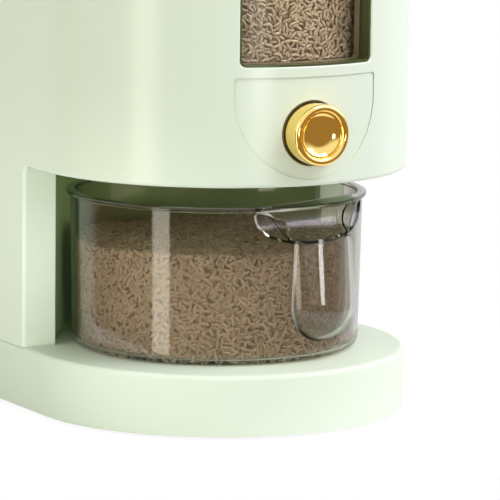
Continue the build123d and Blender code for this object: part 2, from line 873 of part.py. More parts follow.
liner_span = (lid_front, room_back - fit_gap)
lid_liner_plate = plan_prism(lid_wall + fit_gap, lid_z, liner_top) & block(
    wide, liner_span, (lid_z, liner_top)
)
seal_span = (lid_front, room_back - seal_inset)
inner_span = (lid_front, room_back - seal_inset - seal_width)


def seal_ring(grow, low, high):
    """The seal's band, grown by an even margin on both sides."""
    outer = plan_prism(seal_inset - grow, low, high)
    outer = outer & block(wide, (lid_front, seal_span[1] + grow), (low, high))
    inner = plan_prism(seal_inset + seal_width + grow, low, high)
    return outer - (inner & block(wide, (lid_front, inner_span[1] - grow), (low, high)))


seal_top = lid_z + seal_groove
lid_liner_plate -= seal_ring(seat_gap, lid_z, seal_top)
lid_seal = seal_ring(0, collar_top + seal_gap, seal_top)
lid_seat = lid_z + screw_head_height + seat_gap
lid_liner_plate = drill(
    lid_liner_plate, lid_screw_places, lid_z, liner_top, small_shank + seat_gap
)
lid_liner_plate = drill(
    lid_liner_plate, lid_screw_places, lid_z, lid_seat, small_head + seat_gap
)
lid_screw_length = lid_top - lid_wall - lid_seat - seat_gap
lid_screws = screws_up(lid_screw_places, lid_seat, lid_screw_length, small_shank, small_head)

# Serving bowl, drawn about its own axis with its grip to the front, then turned into place
rim_low = bowl_height - bowl_rim
bowl_foot = bowl_low_radius - bowl_corner
diagonal = bowl_corner * math.sqrt(0.5)
inner_corner_radius = bowl_corner - bowl_wall
inner_diagonal = inner_corner_radius * math.sqrt(0.5)
outer_edges = [
    Line((0, 0), (bowl_foot, 0)),
    ThreePointArc(
        (bowl_foot, 0),
        (bowl_foot + diagonal, bowl_corner - diagonal),
        (bowl_low_radius, bowl_corner),
    ),
    Line((bowl_low_radius, bowl_corner), (bowl_top_radius, rim_low)),
    Line((bowl_top_radius, rim_low), (bowl_rim_radius, rim_low)),
    Line((bowl_rim_radius, rim_low), (bowl_rim_radius, bowl_height)),
    Line((bowl_rim_radius, bowl_height), (0, bowl_height)),
    Line((0, bowl_height), (0, 0)),
]
inner_low = bowl_low_radius - bowl_wall
inner_top = bowl_top_radius - bowl_wall
inner_edges = [
    Line((0, bowl_wall), (bowl_foot, bowl_wall)),
    ThreePointArc(
        (bowl_foot, bowl_wall),
        (bowl_foot + inner_diagonal, bowl_corner - inner_diagonal),
        (inner_low, bowl_corner),
    ),
    Line((inner_low, bowl_corner), (inner_top, bowl_height)),
    Line((inner_top, bowl_height), (0, bowl_height)),
    Line((0, bowl_height), (0, bowl_wall)),
]
bowl_outside = revolve(Plane.XZ * Face(Wire(outer_edges)), Axis.Z)
rim_edges = bowl_outside.edges().filter_by(GeomType.CIRCLE)
rim_edges = [edge for edge in rim_edges if abs(edge.radius - bowl_rim_radius) < seat_gap]
bowl_outside = fillet(rim_edges, bowl_rim_round)
bowl_inside = revolve(Plane.XZ * Face(Wire(inner_edges)), Axis.Z)

grip_line = grip_radius - grip_proud - bowl_top_radius


def grip_rod(radius, high):
    """The grip's rod with a round lower end, leaning out towards the bottom."""
    drop = grip_low - grip_mouth
    upright = rod_z(0, 0, drop, high - grip_mouth, radius) + Pos(0, 0, drop) * Sphere(radius)
    return Pos(0, grip_line, grip_mouth) * Rot(X=-grip_lean) * upright


grip_room = grip_rod(grip_radius - grip_wall, grip_mouth + overrun) - bowl_outside
bowl_body = bowl_outside + grip_rod(grip_radius, grip_mouth)
bowl_body -= grip_room
groove_y = -bowl_top_radius - groove_out
below_rim = block(
    (-bowl_rim_radius, bowl_rim_radius), (-bowl_rim_radius - overrun, 0), (bowl_wall, rim_low)
)
groove = rod_x(-bowl_top_radius, bowl_top_radius, groove_y, groove_rise, groove_radius)
groove = groove & below_rim
horn_ring = Circle(horn_radius) - Circle(horn_radius - horn_width)
horn_window = Rectangle(horn_radius, horn_radius, align=(Align.MAX, low_end))
horn = front_prism(Pos(horn_spread, horn_rise) * (horn_ring & horn_window), groove_y, 0)
groove = groove - horn - mirror(horn, about=Plane.YZ)
bowl_body -= groove
groove_back = rod_x(
    -bowl_top_radius, bowl_top_radius, groove_y, groove_rise, groove_radius + bowl_wall
)
bowl_body -= bowl_inside - groove_back
bowl_place = Pos(0, round_y, base_top + fit_gap) * Rot(Z=bowl_turn)
serving_bowl = bowl_place * bowl_body

nodes = {
    "base_shell": [base_shell],
    "base_cover": [base_cover],
    "base_cover_screws": base_cover_screws,
    "rubber_feet": rubber_feet,
    "housing_shell": [housing_shell],
    "housing_screws": housing_screws,
    "niche_back_wall": [niche_back_wall],
    "niche_ceiling": [niche_ceiling],
    "ceiling_screws": ceiling_screws,
    "outlet_chute": [outlet_chute],
    "gate_guide": [gate_guide],
    "gate_guide_screws": gate_guide_screws,
    "hopper": [hopper],
    "window_pane": [window_pane],
    "window_gasket": [window_gasket],
    "button_panel": [button_panel],
    "button_bezel": [button_bezel],
    "stem_cup": [stem_cup],
    "stem_cup_screws": stem_cup_screws,
    "return_spring": [return_spring],
    "top_collar": [top_collar],
    "hinge_pins": hinge_pins,
    "button_cap": [button_cap],
    "button_stem": [button_stem],
    "lock_nut": [lock_nut],
    "gate_slide": [gate_slide],
    "lid_shell": [lid_shell],
    "lid_liner": [lid_liner_plate],
    "lid_seal": [lid_seal],
    "lid_screws": lid_screws,
    "serving_bowl": [serving_bowl],
}
for name, shapes in nodes.items():
    solids = [solid for shape in shapes for solid in shape.solids()]
    export_step(Compound(solids), f"parts/{name}.step")
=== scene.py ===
import math

import bmesh
import bpy
from mathutils import Matrix, Vector


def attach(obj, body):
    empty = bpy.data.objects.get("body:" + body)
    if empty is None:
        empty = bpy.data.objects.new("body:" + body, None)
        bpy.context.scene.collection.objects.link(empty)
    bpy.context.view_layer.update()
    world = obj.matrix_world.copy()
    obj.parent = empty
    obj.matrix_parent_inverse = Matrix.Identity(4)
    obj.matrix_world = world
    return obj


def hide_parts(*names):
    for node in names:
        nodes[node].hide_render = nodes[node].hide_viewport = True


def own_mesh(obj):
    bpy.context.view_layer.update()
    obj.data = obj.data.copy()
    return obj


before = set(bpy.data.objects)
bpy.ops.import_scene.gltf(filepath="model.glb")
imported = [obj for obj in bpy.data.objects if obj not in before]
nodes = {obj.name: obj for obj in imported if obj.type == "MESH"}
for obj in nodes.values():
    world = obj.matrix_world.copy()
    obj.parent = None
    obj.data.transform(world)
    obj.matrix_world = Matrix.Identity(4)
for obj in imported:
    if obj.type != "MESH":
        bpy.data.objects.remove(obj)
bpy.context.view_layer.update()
scene = bpy.context.scene
scene.view_settings.view_transform = "Standard"
print("frame loaded with", len(nodes), "nodes")

# the D plan that the shell, the bin and the rice all follow, in metres
plan = {"roundY": -0.0478, "backY": 0.1522, "radius": 0.095, "corner": 0.025}


# camera at the photograph's angle
shot = {
    "spot": (-0.9584, -1.7732, 0.3857), "yaw": 29.554, "pitch": 8.853, "roll": 0.705,
    "lens": 286.03, "sensor": 36, "near": 0.05, "far": 100,
}


def makeCamera():
    yaw, pitch, roll = (math.radians(shot[k]) for k in ("yaw", "pitch", "roll"))
    level = math.cos(pitch)
    ahead = Vector((math.sin(yaw) * level, math.cos(yaw) * level, -math.sin(pitch)))
    right = Vector((math.cos(yaw), -math.sin(yaw), 0))
    up = right.cross(ahead)
    sideways = right * math.cos(roll) + up * math.sin(roll)
    upright = up * math.cos(roll) - right * math.sin(roll)
    data = bpy.data.cameras.new("shotCamera")
    data.lens = shot["lens"]
    data.sensor_width = shot["sensor"]
    data.clip_start, data.clip_end = shot["near"], shot["far"]
    camera = bpy.data.objects.new("shotCamera", data)
    turn = Matrix((sideways, upright, -ahead)).transposed().to_4x4()
    camera.matrix_world = Matrix.Translation(shot["spot"]) @ turn
    scene.collection.objects.link(camera)
    scene.camera = camera


makeCamera()
print("camera set")


# small helpers for node trees
def addNode(tree, kind, **settings):
    node = tree.nodes.new(kind)
    for key, value in settings.items():
        setattr(node, key, value)
    return node


def pick(sockets, name):
    return next(s for s in sockets if s.name == name and s.enabled)


def join(tree, source, target):
    tree.links.new(source, target)


# link a socket, or set a plain number or colour
def feed(tree, target, value):
    if isinstance(value, bpy.types.NodeSocket):
        join(tree, value, target)
    else:
        target.default_value = value


def maths(tree, operation, *values, clamp=False):
    node = addNode(tree, "ShaderNodeMath", operation=operation, use_clamp=clamp)
    for socket, value in zip(node.inputs, values):
        feed(tree, socket, value)
    return node.outputs[0]


def vector(tree, *parts):
    node = addNode(tree, "ShaderNodeCombineXYZ")
    for socket, part in zip(node.inputs, parts):
        feed(tree, socket, part)
    return node.outputs[0]


def scaled(tree, source, factor):
    node = addNode(tree, "ShaderNodeVectorMath", operation="SCALE")
    join(tree, source, node.inputs[0])
    join(tree, factor, node.inputs["Scale"])
    return node.outputs[0]


def objectNoise(tree, scale, detail):
    where = addNode(tree, "ShaderNodeTexCoord")
    noise = addNode(tree, "ShaderNodeTexNoise")
    feed(tree, noise.inputs["Scale"], scale)
    noise.inputs["Detail"].default_value = detail
    join(tree, where.outputs["Object"], noise.inputs["Vector"])
    return noise.outputs["Fac"]


def mixColours(tree, factor, first, second):
    mix = addNode(tree, "ShaderNodeMix", data_type="RGBA")
    for name, value in (("Factor", factor), ("A", first), ("B", second)):
        feed(tree, pick(mix.inputs, name), value)
    return pick(mix.outputs, "Result")


def mixShaders(tree, factor, first, second):
    mix = addNode(tree, "ShaderNodeMixShader")
    for socket, source in zip(mix.inputs, (factor, first.outputs[0], second.outputs[0])):
        join(tree, source, socket)
    return mix.outputs[0]


def smoothStep(tree, value, start, stop):
    node = addNode(tree, "ShaderNodeMapRange", interpolation_type="SMOOTHSTEP")
    node.inputs["From Min"].default_value = start
    node.inputs["From Max"].default_value = stop
    join(tree, value, node.inputs["Value"])
    return node.outputs[0]


def spanned(tree, value, low, high):
    node = addNode(tree, "ShaderNodeMapRange")
    node.inputs["To Min"].default_value = low
    node.inputs["To Max"].default_value = high
    join(tree, value, node.inputs["Value"])
    return node.outputs[0]


# one where the camera, a reflection or a clear piece looks straight at the surface
def seenMask(tree, path):
    ray = path.outputs
    seen = maths(tree, "ADD", ray["Is Camera Ray"], ray["Is Glossy Ray"], clamp=True)
    return maths(tree, "ADD", seen, ray["Is Transmission Ray"], clamp=True)


def opaque(colour, level=1):
    return (*(c * level for c in colour), 1)


# moulded skin: slow tint drift, uneven gloss and a fine pebble, shared by plastics, rubber and metal
skinGrain = {
    "slowScale": 9, "slowDetail": 3, "smearScale": 46, "smearDetail": 4,
    "pebbleDetail": 2, "pebbleHigh": 0.0002, "middle": 0.5,
}


def makeSkinGroup():
    g = skinGrain
    group = bpy.data.node_groups.new("mouldedSkin", "ShaderNodeTree")
    for label, kind, value in (
        ("Tint", "NodeSocketColor", (0.8, 0.8, 0.8, 1)),
        ("Drift", "NodeSocketFloat", 0.03),
        ("Gloss", "NodeSocketFloat", 0.35),
        ("Gloss Spread", "NodeSocketFloat", 0.06),
        ("Pebble Scale", "NodeSocketFloat", 1400.0),
        ("Pebble Depth", "NodeSocketFloat", 0.04),
    ):
        socket = group.interface.new_socket(label, in_out="INPUT", socket_type=kind)
        socket.default_value = value
    for label, kind in (
        ("Color", "NodeSocketColor"), ("Roughness", "NodeSocketFloat"), ("Normal", "NodeSocketVector"),
    ):
        group.interface.new_socket(label, in_out="OUTPUT", socket_type=kind)
    give = addNode(group, "NodeGroupInput").outputs
    leave = addNode(group, "NodeGroupOutput")
    # tint times one plus or minus the drift
    slow = maths(group, "SUBTRACT", objectNoise(group, g["slowScale"], g["slowDetail"]), g["middle"])
    drift = maths(group, "MULTIPLY_ADD", slow, give["Drift"], 1)
    join(group, scaled(group, give["Tint"], drift), leave.inputs["Color"])
    smear = maths(group, "SUBTRACT", objectNoise(group, g["smearScale"], g["smearDetail"]), g["middle"])
    gloss = maths(group, "MULTIPLY_ADD", smear, give["Gloss Spread"], give["Gloss"])
    join(group, gloss, leave.inputs["Roughness"])
    bump = addNode(group, "ShaderNodeBump")
    bump.inputs["Distance"].default_value = g["pebbleHigh"]
    join(group, give["Pebble Depth"], bump.inputs["Strength"])
    join(group, objectNoise(group, give["Pebble Scale"], g["pebbleDetail"]), bump.inputs["Height"])
    join(group, bump.outputs[0], leave.inputs["Normal"])
    return group


skinGroup = makeSkinGroup()


def newMaterial(name):
    material = bpy.data.materials.new(name)
    material.use_nodes = True
    tree = material.node_tree
    tree.nodes.clear()
    shader = addNode(tree, "ShaderNodeBsdfPrincipled")
    out = addNode(tree, "ShaderNodeOutputMaterial")
    join(tree, shader.outputs[0], out.inputs["Surface"])
    return material, tree, shader, out


skinInputs = {
    "Drift": "drift", "Gloss": "gloss", "Gloss Spread": "glossSpread",
    "Pebble Scale": "pebble", "Pebble Depth": "depth",
}


def skinMaterial(name, look):
    material, tree, shader, _ = newMaterial(name)
    skin = addNode(tree, "ShaderNodeGroup", node_tree=skinGroup)
    skin.inputs["Tint"].default_value = opaque(look["tint"])
    for label, key in skinInputs.items():
        if key in look:
            skin.inputs[label].default_value = look[key]
    join(tree, skin.outputs["Color"], shader.inputs["Base Color"])
    join(tree, skin.outputs["Roughness"], shader.inputs["Roughness"])
    join(tree, skin.outputs["Normal"], shader.inputs["Normal"])
    shader.inputs["IOR"].default_value = look.get("ior", 1.5)
    shader.inputs["Metallic"].default_value = look.get("metal", 0)
    return material


skins = {
    "mintShell": {
        "tint": (0.75, 0.85, 0.687), "drift": 0.02, "gloss": 0.24, "glossSpread": 0.05, "depth": 0.03,
    },
    "mintBase": {
        "tint": (0.75, 0.85, 0.687), "drift": 0.02, "gloss": 0.5, "glossSpread": 0.05, "depth": 0.05,
        "ior": 1.2,
    },
    # niche walls: the shell's mint painted darker and greener, as painted shade for the recess
    "nicheMintShaded": {"tint": (0.42, 0.60, 0.30), "drift": 0.04, "gloss": 0.42, "depth": 0.05},
    "milkPlastic": {"tint": (0.72, 0.75, 0.68), "drift": 0.03, "gloss": 0.4, "depth": 0.05},
    # hopper painted dark rice brown: painted shade and a painted reflection of the rice on the strip at
    # the window's cut edge
    "binShadeBrown": {"tint": (0.30, 0.25, 0.175), "drift": 0.06, "gloss": 0.3, "depth": 0.05},
    # button bezel painted near black: painted shadow of the gap round the button
    "bezelGapShade": {"tint": (0.1, 0.08, 0.035), "drift": 0.1, "gloss": 0.25, "depth": 0.03},
    # window gasket painted near-black olive: painted shade of the window's jamb
    "gasketJambShade": {"tint": (0.07, 0.085, 0.03), "drift": 0.1, "gloss": 0.3, "depth": 0.05},
    "footRubber": {
        "tint": (0.06, 0.062, 0.06), "drift": 0.12, "gloss": 0.75, "glossSpread": 0.1, "depth": 0.2,
    },
    "zincSteel": {
        "tint": (0.62, 0.62, 0.6), "drift": 0.06, "gloss": 0.3, "glossSpread": 0.15,
        "pebble": 2400, "depth": 0.08, "metal": 1,
    },
    "polishedGold": {
        "tint": (1.0, 0.74, 0.24), "drift": 0.04, "gloss": 0.09, "glossSpread": 0.06,
        "pebble": 900, "depth": 0.012, "metal": 1,
    },
}
finishes = {name: skinMaterial(name, look) for name, look in skins.items()}


# clear mouldings: tinted glass that lets lamps through, with faint flow marks in the gloss
clears = {
    "smokyBowl": {
        # edge-on colour: partly the longer path through the plastic, partly painted shade (near black on
        # the bowl)
        "tint": (0.81, 0.795, 0.73), "edge": (0.055, 0.048, 0.03), "lamps": (0.76, 0.74, 0.65),
        "gloss": 0.03, "ior": 1.45,
    },
    "clearPane": {
        "tint": (0.92, 0.9, 0.8), "edge": (0.60, 0.60, 0.52), "lamps": (0.85, 0.85, 0.8),
        "gloss": 0.04, "ior": 1.12,
    },
}
clearFlow = {
    "scale": 30, "detail": 3, "glossLow": 0.6, "glossHigh": 1.6, "thick": 0.95, "blend": 0.5, "steep": 1.3,
}


def clearMaterial(name, look):
    c = clearFlow
    material, tree, shader, out = newMaterial(name)
    flow = objectNoise(tree, c["scale"], c["detail"])
    gloss = spanned(tree, flow, look["gloss"] * c["glossLow"], look["gloss"] * c["glossHigh"])
    join(tree, gloss, shader.inputs["Roughness"])
    tone = mixColours(tree, flow, opaque(look["tint"]), opaque(look["tint"], c["thick"]))
    # seen edge on there is more plastic to look through; on the bowl the colour there is also painted far
    # darker than that gives, as painted shade at the outlines
    slant = addNode(tree, "ShaderNodeLayerWeight")
    slant.inputs["Blend"].default_value = c["blend"]
    steep = maths(tree, "POWER", slant.outputs["Facing"], c["steep"])
    join(tree, mixColours(tree, steep, tone, opaque(look["edge"])), shader.inputs["Base Color"])
    shader.inputs["Transmission Weight"].default_value = 1
    shader.inputs["IOR"].default_value = look["ior"]
    film = addNode(tree, "ShaderNodeBsdfTransparent")
    film.inputs["Color"].default_value = opaque(look["lamps"])
    path = addNode(tree, "ShaderNodeLightPath")
    either = mixShaders(tree, path.outputs["Is Shadow Ray"], shader, film)
    join(tree, either, out.inputs["Surface"])
    return material


for name, look in clears.items():
    finishes[name] = clearMaterial(name, look)


# rice: each grain has its own tone; the bed under the grains is painted darker, as painted shade in the
# gaps between grains
riceLook = {
    "pale": (0.515, 0.428, 0.352), "deep": (0.395, 0.315, 0.25), "gloss": 0.45,
    "shadedBed": (0.27, 0.21, 0.155), "bedRough": 0.8, "speckleScale": 420, "speckleDetail": 2,
    "ramp": ((0.35, 0.5), (0.7, 1.8)),
}


def riceMaterial():
    material, tree, shader, _ = newMaterial("riceGrain")
    tone = addNode(tree, "ShaderNodeAttribute", attribute_name="grainTone")
    mixed = mixColours(tree, tone.outputs["Fac"], opaque(riceLook["deep"]), opaque(riceLook["pale"]))
    join(tree, mixed, shader.inputs["Base Color"])
    shader.inputs["Roughness"].default_value = riceLook["gloss"]
    return material


# bed colour: painted shade for the gaps between grains, with a random speckle
def riceBedMaterial():
    r = riceLook
    material, tree, shader, _ = newMaterial("riceBedPaintedShade")
    ramp = addNode(tree, "ShaderNodeValToRGB")
    for element, (position, level) in zip(ramp.color_ramp.elements, r["ramp"]):
        element.position = position
        element.color = opaque(r["shadedBed"], level)
    join(tree, objectNoise(tree, r["speckleScale"], r["speckleDetail"]), ramp.inputs[0])
    join(tree, ramp.outputs[0], shader.inputs["Base Color"])
    shader.inputs["Roughness"].default_value = r["bedRough"]
    return material


finishes["riceGrain"] = riceMaterial()
finishes["riceBedPaintedShade"] = riceBedMaterial()

# which finish goes on which CAD node
dressing = {
    "mintBase": ["base_shell", "base_cover"],
    "mintShell": ["housing_shell", "button_panel", "top_collar", "lid_shell"],
    "nicheMintShaded": ["niche_back_wall", "niche_ceiling"],
    "binShadeBrown": ["hopper"],
    "milkPlastic": ["gate_guide", "gate_slide", "outlet_chute", "stem_cup", "button_stem", "lid_liner"],
    "bezelGapShade": ["button_bezel"],
    "gasketJambShade": ["window_gasket"],
    "footRubber": ["rubber_feet", "lid_seal"],
    "polishedGold": ["button_cap"],
    "smokyBowl": ["serving_bowl"],
    "clearPane": ["window_pane"],
    "zincSteel": [
        "base_cover_screws", "housing_screws", "ceiling_screws", "gate_guide_screws", "stem_cup_screws",
        "lid_screws", "lock_nut", "return_spring", "hinge_pins",
    ],
}
for finish, members in dressing.items():
    for member in members:
        nodes[member].data.materials.clear()
        nodes[member].data.materials.append(finishes[finish])
print("finishes on", sum(len(m) for m in dressing.values()), "nodes")


def smoothAll(mesh):
    mesh.polygons.foreach_set("use_smooth", [True] * len(mesh.polygons))


def newObject(name, bm, material=None, smooth=True):
    mesh = bpy.data.meshes.new(name)
    bm.to_mesh(mesh)
    bm.free()
    if smooth:
        smoothAll(mesh)
    piece = bpy.data.objects.new(name, mesh)
    scene.collection.objects.link(piece)
    if material:
        mesh.materials.append(finishes[material])
    return piece


# a geometry tree with its inputs, and the end that every tree has
def newTree(name, inputs):
    tree = bpy.data.node_groups.new(name, "GeometryNodeTree")
    for label, kind in inputs.items():
        tree.interface.new_socket(label, in_out="INPUT", socket_type="NodeSocket" + kind)
    tree.interface.new_socket("Geometry", in_out="OUTPUT", socket_type="NodeSocketGeometry")
    return tree, addNode(tree, "NodeGroupInput").outputs


def endTree(tree, geometry, material):
    real = addNode(tree, "GeometryNodeRealizeInstances")
    join(tree, geometry, real.inputs["Geometry"])
    paint = addNode(tree, "GeometryNodeSetMaterial")
    join(tree, real.outputs["Geometry"], paint.inputs["Geometry"])
    join(tree, material, paint.inputs["Material"])
    leave = addNode(tree, "NodeGroupOutput")
    join(tree, paint.outputs["Geometry"], leave.inputs["Geometry"])


def randomValue(tree, kind, low, high, seed):
    node = addNode(tree, "FunctionNodeRandomValue", data_type=kind)
    for name, value in (("Min", low), ("Max", high), ("Seed", seed)):
        feed(tree, pick(node.inputs, name), value)
    return pick(node.outputs, "Value")


# give a mesh its tree, set the inputs by identifier, then keep the result as a plain mesh
def growPiece(name, bm, tree, values):
    piece = newObject(name, bm)
    modifier = piece.modifiers.new("grow", "NODES")
    modifier.node_group = tree
    for item in tree.interface.items_tree:
        if item.in_out == "INPUT" and item.name in values:
            modifier[item.identifier] = values[item.name]
    graph = bpy.context.evaluated_depsgraph_get()
    mesh = bpy.data.meshes.new_from_object(piece.evaluated_get(graph))
    piece.modifiers.clear()
    piece.data = mesh
    mesh.name = name
    return piece


# scatter tree: grains lying on a surface, each with its own turn, size and tone
scatter = {
    "densityMax": 600000, "least": (0.82, 0.85, 0.85), "most": (1.12, 1.15, 1.1),
    "shiftSeed": 0, "turnSeed": 0, "sizeSeed": 5, "toneSeed": 9,
}


def makeScatterTree():
    s = scatter
    tree, give = newTree("riceScatter", {
        "Geometry": "Geometry", "Grain": "Object", "Material": "Material",
        "Spacing": "Float", "Tilt": "Float", "Lift": "Float", "Seed": "Int",
    })
    spread = addNode(tree, "GeometryNodeDistributePointsOnFaces", distribute_method="POISSON")
    join(tree, give["Geometry"], spread.inputs["Mesh"])
    join(tree, give["Spacing"], pick(spread.inputs, "Distance Min"))
    pick(spread.inputs, "Density Max").default_value = s["densityMax"]
    join(tree, give["Seed"], spread.inputs["Seed"])
    # shift each point in or out along the surface
    lower = maths(tree, "MULTIPLY", give["Lift"], -1)
    shiftBy = randomValue(tree, "FLOAT", lower, give["Lift"], s["shiftSeed"])
    shift = addNode(tree, "GeometryNodeSetPosition")
    join(tree, spread.outputs["Points"], shift.inputs["Geometry"])
    join(tree, scaled(tree, spread.outputs["Normal"], shiftBy), shift.inputs["Offset"])
    # turn freely in the surface, tip a little out of it
    untilt = maths(tree, "MULTIPLY", give["Tilt"], -1)
    least = vector(tree, untilt, untilt, 0)
    most = vector(tree, give["Tilt"], give["Tilt"], math.tau)
    euler = addNode(tree, "FunctionNodeEulerToRotation")
    join(tree, randomValue(tree, "FLOAT_VECTOR", least, most, s["turnSeed"]), euler.inputs[0])
    spin = addNode(tree, "FunctionNodeRotateRotation", rotation_space="LOCAL")
    join(tree, spread.outputs["Rotation"], spin.inputs["Rotation"])
    join(tree, euler.outputs[0], spin.inputs["Rotate By"])
    grain = addNode(tree, "GeometryNodeObjectInfo")
    join(tree, give["Grain"], grain.inputs["Object"])
    place = addNode(tree, "GeometryNodeInstanceOnPoints")
    join(tree, shift.outputs["Geometry"], place.inputs["Points"])
    join(tree, grain.outputs["Geometry"], place.inputs["Instance"])
    join(tree, spin.outputs["Rotation"], place.inputs["Rotation"])
    size = randomValue(tree, "FLOAT_VECTOR", s["least"], s["most"], s["sizeSeed"])
    join(tree, size, place.inputs["Scale"])
    keep = addNode(tree, "GeometryNodeStoreNamedAttribute", data_type="FLOAT", domain="INSTANCE")
    keep.inputs["Name"].default_value = "grainTone"
    join(tree, place.outputs["Instances"], keep.inputs["Geometry"])
    join(tree, randomValue(tree, "FLOAT", 0, 1, s["toneSeed"]), pick(keep.inputs, "Value"))
    endTree(tree, keep.outputs["Geometry"], give["Material"])
    return tree


scatterTree = makeScatterTree()


# a profile of (radius, height) turned about Z, poles merged
def spinProfile(profile, steps):
    bm = bmesh.new()
    turns = [2 * math.pi * k / steps for k in range(steps)]
    rings = []
    for radius, height in profile:
        if radius < 1e-6:
            rings.append([bm.verts.new((0, 0, height))])
        else:
            rings.append([
                bm.verts.new((radius * math.cos(a), radius * math.sin(a), height)) for a in turns
            ])
    for low, high in zip(rings, rings[1:]):
        for k in range(steps):
            corners = [
                low[k % len(low)], low[(k + 1) % len(low)], high[(k + 1) % len(high)], high[k % len(high)],
            ]
            corners = list(dict.fromkeys(corners))
            if len(corners) > 2:
                bm.faces.new(corners)
    bmesh.ops.recalc_face_normals(bm, faces=bm.faces)
    return bm


grainSize = {"long": 0.0043, "wide": 0.00165, "thick": 0.00145, "around": 6, "rings": 4}


# one grain, its faces always in the same order
def makeGrain():
    g = grainSize
    bows = [math.pi * k / g["rings"] for k in range(g["rings"] + 1)]
    bm = spinProfile([(math.sin(a) / 2, -math.cos(a) / 2) for a in bows], g["around"])
    bmesh.ops.rotate(bm, verts=bm.verts, matrix=Matrix.Rotation(math.pi / 2, 3, "Y"))
    bmesh.ops.scale(bm, verts=bm.verts, vec=(g["long"], g["wide"], g["thick"]))
    return newObject("grainSeed", bm)


grainSeed = makeGrain()


def scatterRice(name, bm, spacing, lie):
    values = {"Grain": grainSeed, "Material": finishes["riceGrain"], "Spacing": spacing, **lie}
    return growPiece(name, bm, scatterTree, values)


# gentle waves in the top of the rice
waves = {"x": 61, "xFrom": 1.3, "y": 53, "yFrom": -0.4, "slantX": 127, "slantY": -90, "slantShare": 0.5}


def ripple(x, y, height):
    w = waves
    cross = math.sin(w["x"] * x + w["xFrom"]) * math.cos(w["y"] * y + w["yFrom"])
    return height * (cross + w["slantShare"] * math.sin(w["slantX"] * x + w["slantY"] * y))


# rice in the serving bowl
bowlRice = {
    "floor": 0.0343, "level": 0.0850, "low": 0.0660, "wall": 0.0682, "topWall": 0.0692, "corner": 0.0022,
    "spacing": 0.00153, "mound": 0.0009, "around": 96, "cornerSteps": 5, "wallSteps": 4, "topSteps": 12,
    "middle": 0.06,
    "side": {"Tilt": 0.22, "Lift": 0.0005, "Seed": 3},
    "top": {"Tilt": 0.4, "Lift": 0.0007, "Seed": 8},
}


def makeBowlRice():
    r = bowlRice
    wall = [(0, r["floor"]), (r["low"], r["floor"])]
    for k in range(1, r["cornerSteps"] + 1):
        a = math.pi / 2 * k / r["cornerSteps"]
        out = r["low"] + (r["wall"] - r["low"]) * math.sin(a)
        wall.append((out, r["floor"] + r["corner"] * (1 - math.cos(a))))
    bend = r["floor"] + r["corner"]
    rise = r["level"] - r["floor"] - r["corner"]
    for k in range(1, r["wallSteps"] + 1):
        t = k / r["wallSteps"]
        wall.append((r["wall"] + (r["topWall"] - r["wall"]) * t, bend + rise * t))
    top = [(r["topWall"] * (1 - k / r["topSteps"]), r["level"]) for k in range(r["topSteps"] + 1)]
    centre = Vector((0, plan["roundY"], 0))
    shadedBed = spinProfile(wall + top[1:], r["around"])
    side = spinProfile(wall[2:], r["around"])
    cap = spinProfile(top, r["around"])
    for bm in (shadedBed, side, cap):
        for v in bm.verts:
            if v.co.z > r["level"] - 1e-6:
                v.co.z += ripple(v.co.x, v.co.y, r["mound"])
            v.co += centre
    # point the open strips outwards and upwards
    for f in side.faces:
        if f.normal.dot(f.calc_center_median() - centre - Vector((0, 0, r["middle"]))) < 0:
            f.normal_flip()
    for f in cap.faces:
        if f.normal.z < 0:
            f.normal_flip()
    bedPiece = newObject("bowlRiceBed", shadedBed, "riceBedPaintedShade")
    sidePiece = scatterRice("bowlRiceSide", side, r["spacing"], r["side"])
    topPiece = scatterRice("bowlRiceTop", cap, r["spacing"], r["top"])
    for piece in (bedPiece, sidePiece, topPiece):
        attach(piece, "bowl")
        print(piece.name, len(piece.data.polygons), "faces")


makeBowlRice()


# rice in the bin: a bed over the sloped floor, grains behind the window and on top
binRice = {
    "inset": 0.0172, "level": 0.2960, "mound": 0.0025, "spacing": 0.00153, "topSpacing": 0.0029,
    "slotZ": 0.1402, "slotHalfX": 0.0215, "slotHalfY": 0.0040,
    "frontTilt": 0.486, "sideSlope": 30, "backSlope": 25, "roundSteps": 48, "cornerSteps": 6,
    "windowAngle": 25.0, "windowLow": 0.1815, "windowSkin": 0.0007, "columns": 24, "rows": 30,
    "heapAcross": 60, "heapAlong": 90, "heapGap": 0.001,
    "window": {"Tilt": 0.2, "Lift": 0.0005, "Seed": 12},
    "top": {"Tilt": 0.4, "Lift": 0.0008, "Seed": 21},
}


def planOutline(inset):
    r = binRice
    radius, corner = plan["radius"] - inset, plan["corner"] - inset
    far = plan["backY"] - inset
    points = []
    for k in range(r["roundSteps"] + 1):
        a = math.pi * k / r["roundSteps"]
        points.append((-radius * math.cos(a), plan["roundY"] - radius * math.sin(a)))
    for side, start in ((1, 0), (-1, math.pi / 2)):
        for k in range(r["cornerSteps"] + 1):
            a = start + math.pi / 2 * k / r["cornerSteps"]
            x = side * (radius - corner) + corner * math.cos(a)
            points.append((x, far - corner + corner * math.sin(a)))
    return points


